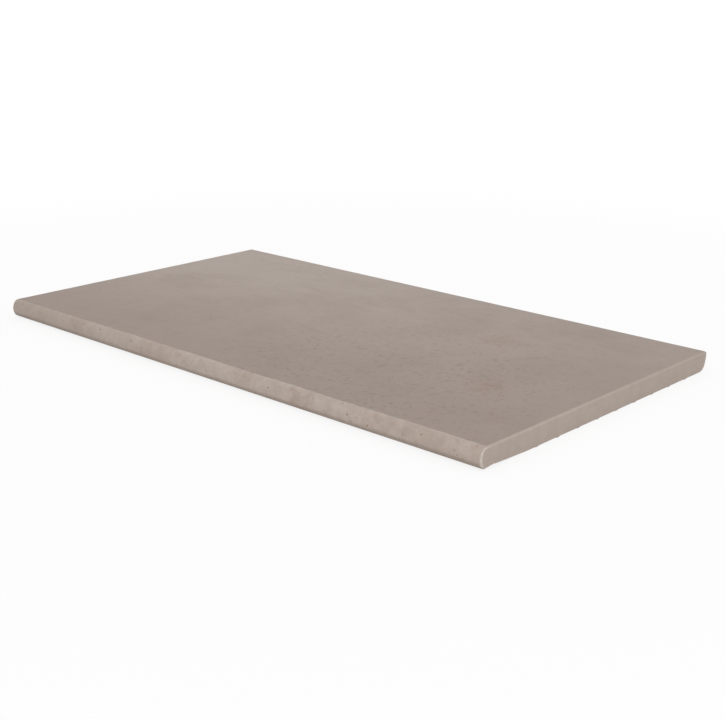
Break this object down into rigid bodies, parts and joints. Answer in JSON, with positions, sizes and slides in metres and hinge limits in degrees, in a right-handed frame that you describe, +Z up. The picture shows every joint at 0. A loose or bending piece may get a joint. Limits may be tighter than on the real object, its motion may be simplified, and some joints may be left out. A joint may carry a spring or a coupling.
{
  "type": "pool coping stone",
  "caption": "Flat rectangular coping slab with a shallow full-height bullnose on one long edge, arrised sawn ends, a drafted back edge and a ribbed bedding face.",
  "frame": {"origin": "under the middle of the stone, at the foot of the underside ribs", "axes": "+X along the bullnose, -Y towards the pool, +Z up from the bedding face to the walking face"},
  "size_m": [0.6, 0.33, 0.018],
  "materials": {
    "stoneware": "matte stone-look face, honed edges"
  },
  "bodies": {
    "root": {"coping_stone": "stoneware"}
  },
  "joints": []
}
